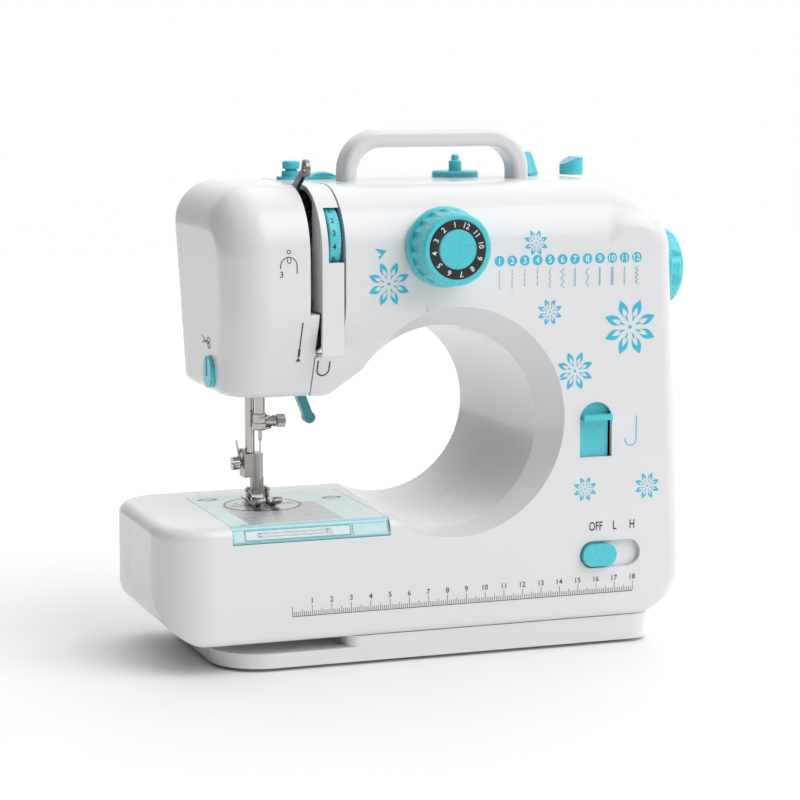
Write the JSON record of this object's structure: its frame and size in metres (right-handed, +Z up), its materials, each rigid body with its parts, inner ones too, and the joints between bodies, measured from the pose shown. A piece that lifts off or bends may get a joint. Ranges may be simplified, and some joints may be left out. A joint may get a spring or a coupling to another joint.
{
  "type": "sewing machine",
  "caption": "Small free-standing electric sewing machine with a round throat, carry handle, stitch dial, handwheel, presser foot and a sliding bobbin cover.",
  "frame": {"origin": "on the floor under the middle of the machine's outer box", "axes": "+X towards the handwheel, -Y towards the user, +Z up"},
  "size_m": [0.281, 0.13, 0.259],
  "materials": {
    "white_plastic": "high gloss moulded",
    "cyan_plastic": "satin gloss moulded",
    "teal_plastic": "satin gloss moulded",
    "black_plastic": "matte moulded",
    "clear_cyan": "tinted clear",
    "clear_pane": "clear",
    "lamp_clear": "frosted",
    "chrome_steel": "polished",
    "brushed_steel": "brushed",
    "zinc_frame": "satin",
    "bronze_bush": "satin",
    "black_rubber": "matte",
    "foot_rubber": "matte",
    "grey_nylon": "matte",
    "battery_wrap": "satin"
  },
  "bodies": {
    "machine": {"front_cover": "white_plastic", "rear_cover": "white_plastic", "head_cap": "white_plastic", "thread_guide_strip": "white_plastic", "base_plate": "white_plastic", "batteries": "battery_wrap", "rubber_feet": "foot_rubber", "carry_handle": "white_plastic", "cover_screws": "chrome_steel", "pivot_pins": "brushed_steel", "tension_discs": "chrome_steel", "shaft_bushes": "bronze_bush", "bar_guides": "zinc_frame", "presser_spring": "brushed_steel", "bobbin_case": "black_plastic", "needle_plate": "brushed_steel", "plate_surround": "clear_cyan", "drive_belts": "black_rubber", "motor": "brushed_steel", "inner_frame": "zinc_frame", "switch_unit": "grey_nylon", "sockets": "black_plastic", "spool_disc": "cyan_plastic", "winder_stop": "cyan_plastic", "pretension_guide": "cyan_plastic", "lamp_lens": "lamp_clear", "thread_cutter": "cyan_plastic"},
    "battery_door": {"battery_door": "white_plastic"},
    "stitch_dial": {"stitch_dial": "cyan_plastic", "dial_number_ring": "black_plastic", "dial_cap": "cyan_plastic", "dial_shaft": "grey_nylon"},
    "main_shaft": {"handwheel": "cyan_plastic", "main_shaft": "brushed_steel", "crank_disc": "zinc_frame", "upper_pulley": "grey_nylon"},
    "connecting_rod": {"connecting_rod": "zinc_frame"},
    "take_up_lever": {"take_up_lever": "chrome_steel"},
    "tension_wheel": {"tension_wheel": "cyan_plastic"},
    "needle_bar": {"needle_bar": "chrome_steel", "needle_clamp": "chrome_steel", "needle": "chrome_steel"},
    "needle_clamp_screw": {"needle_clamp_screw": "chrome_steel"},
    "presser_bar": {"presser_bar": "chrome_steel", "foot_holder": "brushed_steel"},
    "foot_screw": {"foot_screw": "chrome_steel"},
    "presser_foot": {"presser_foot": "chrome_steel"},
    "presser_lever": {"presser_lever": "teal_plastic"},
    "rotary_hook": {"rotary_hook": "chrome_steel"},
    "bobbin": {"bobbin": "clear_pane"},
    "feed_dog": {"feed_dog": "brushed_steel"},
    "bobbin_cover": {"bobbin_cover": "clear_cyan", "bobbin_window": "clear_pane"},
    "lower_shaft": {"lower_shaft": "brushed_steel", "lower_shaft_wheels": "grey_nylon"},
    "motor_pulley": {"motor_pulley": "grey_nylon"},
    "reverse_lever": {"reverse_lever": "cyan_plastic"},
    "switch_knob": {"switch_knob": "cyan_plastic"},
    "spool_pin": {"spool_pin": "cyan_plastic"},
    "winder_spindle": {"winder_spindle": "cyan_plastic"}
  },
  "joints": [
    {"name": "main_shaft_spin", "type": "hinge", "parent": "machine", "child": "main_shaft", "pos_m": [0, -0.009, 0.188], "axis": [1, 0, 0], "continuous": true},
    {"name": "connecting_rod_turn", "type": "hinge", "parent": "main_shaft", "child": "connecting_rod", "pos_m": [-0.064, -0.009, 0.2], "axis": [1, 0, 0], "continuous": true},
    {"name": "lower_shaft_spin", "type": "hinge", "parent": "machine", "child": "lower_shaft", "pos_m": [0, -0.004, 0.034], "axis": [1, 0, 0], "continuous": true},
    {"name": "hook_spin", "type": "hinge", "parent": "machine", "child": "rotary_hook", "pos_m": [-0.0743, -0.004, 0.05], "axis": [0, 0, 1], "continuous": true},
    {"name": "motor_spin", "type": "hinge", "parent": "machine", "child": "motor_pulley", "pos_m": [0.08, 0.03, 0.062], "axis": [1, 0, 0], "continuous": true},
    {"name": "bobbin_spin", "type": "hinge", "parent": "machine", "child": "bobbin", "pos_m": [-0.0743, -0.004, 0.055], "axis": [0, 0, 1], "continuous": true},
    {"name": "needle_bar_travel", "type": "slide", "parent": "machine", "child": "needle_bar", "axis": [0, 0, -1], "range_m": [0, 0.024]},
    {"name": "needle_clamp_screw_turn", "type": "hinge", "parent": "needle_bar", "child": "needle_clamp_screw", "pos_m": [-0.066, 0.015, 0.114], "axis": [1, 0, 0], "range_deg": [-180, 180]},
    {"name": "take_up_swing", "type": "hinge", "parent": "machine", "child": "take_up_lever", "pos_m": [-0.0635, 0.01, 0.219], "axis": [1, 0, 0], "range_deg": [0, 40]},
    {"name": "tension_wheel_turn", "type": "hinge", "parent": "machine", "child": "tension_wheel", "pos_m": [-0.053, -0.0265, 0.207], "axis": [1, 0, 0], "range_deg": [-140, 140]},
    {"name": "stitch_dial_turn", "type": "hinge", "parent": "machine", "child": "stitch_dial", "pos_m": [0.001, -0.05, 0.204], "axis": [0, -1, 0], "continuous": true},
    {"name": "presser_lever_lift", "type": "hinge", "parent": "machine", "child": "presser_lever", "pos_m": [-0.0524, 0.035, 0.137], "axis": [0, -1, 0], "range_deg": [0, 50]},
    {"name": "presser_bar_lift", "type": "slide", "parent": "machine", "child": "presser_bar", "axis": [0, 0, 1], "range_m": [0, 0.006], "deforming": ["presser_spring"]},
    {"name": "presser_foot_tilt", "type": "hinge", "parent": "presser_bar", "child": "presser_foot", "pos_m": [-0.0743, 0.0204, 0.0786], "axis": [-1, 0, 0], "range_deg": [-1.5, 8]},
    {"name": "foot_screw_turn", "type": "hinge", "parent": "presser_bar", "child": "foot_screw", "pos_m": [-0.085, 0.024, 0.092], "axis": [-1, 0, 0], "range_deg": [-180, 180]},
    {"name": "feed_dog_stroke", "type": "slide", "parent": "machine", "child": "feed_dog", "axis": [0, 1, 0], "range_m": [-0.0015, 0.0015]},
    {"name": "bobbin_cover_slide", "type": "slide", "parent": "machine", "child": "bobbin_cover", "axis": [0, -1, 0], "range_m": [0, 0.058]},
    {"name": "reverse_lever_press", "type": "slide", "parent": "machine", "child": "reverse_lever", "axis": [0, 0, -1], "range_m": [0, 0.01], "stiffness_N_per_m": 150, "springref_m": -0.002},
    {"name": "switch_slide", "type": "slide", "parent": "machine", "child": "switch_knob", "axis": [1, 0, 0], "range_m": [0, 0.0115]},
    {"name": "spool_pin_pull", "type": "slide", "parent": "machine", "child": "spool_pin", "axis": [0, 0, 1], "range_m": [0, 0.03]},
    {"name": "winder_spindle_spin", "type": "hinge", "parent": "machine", "child": "winder_spindle", "pos_m": [0.0755, 0.035, 0.24], "axis": [0, 0, 1], "continuous": true},
    {"name": "battery_door_slide", "type": "slide", "parent": "machine", "child": "battery_door", "axis": [0, 1, 0], "range_m": [0, 0.03]}
  ],
  "couplings": [
    {"joint": "connecting_rod_turn", "follows": "main_shaft_spin", "ratio": -1},
    {"joint": "lower_shaft_spin", "follows": "main_shaft_spin", "ratio": 1},
    {"joint": "hook_spin", "follows": "main_shaft_spin", "ratio": -1},
    {"joint": "motor_spin", "follows": "main_shaft_spin", "ratio": 2.8},
    {"joint": "presser_lever_lift", "follows": "presser_bar_lift", "rad_per_m": 145.44}
  ]
}
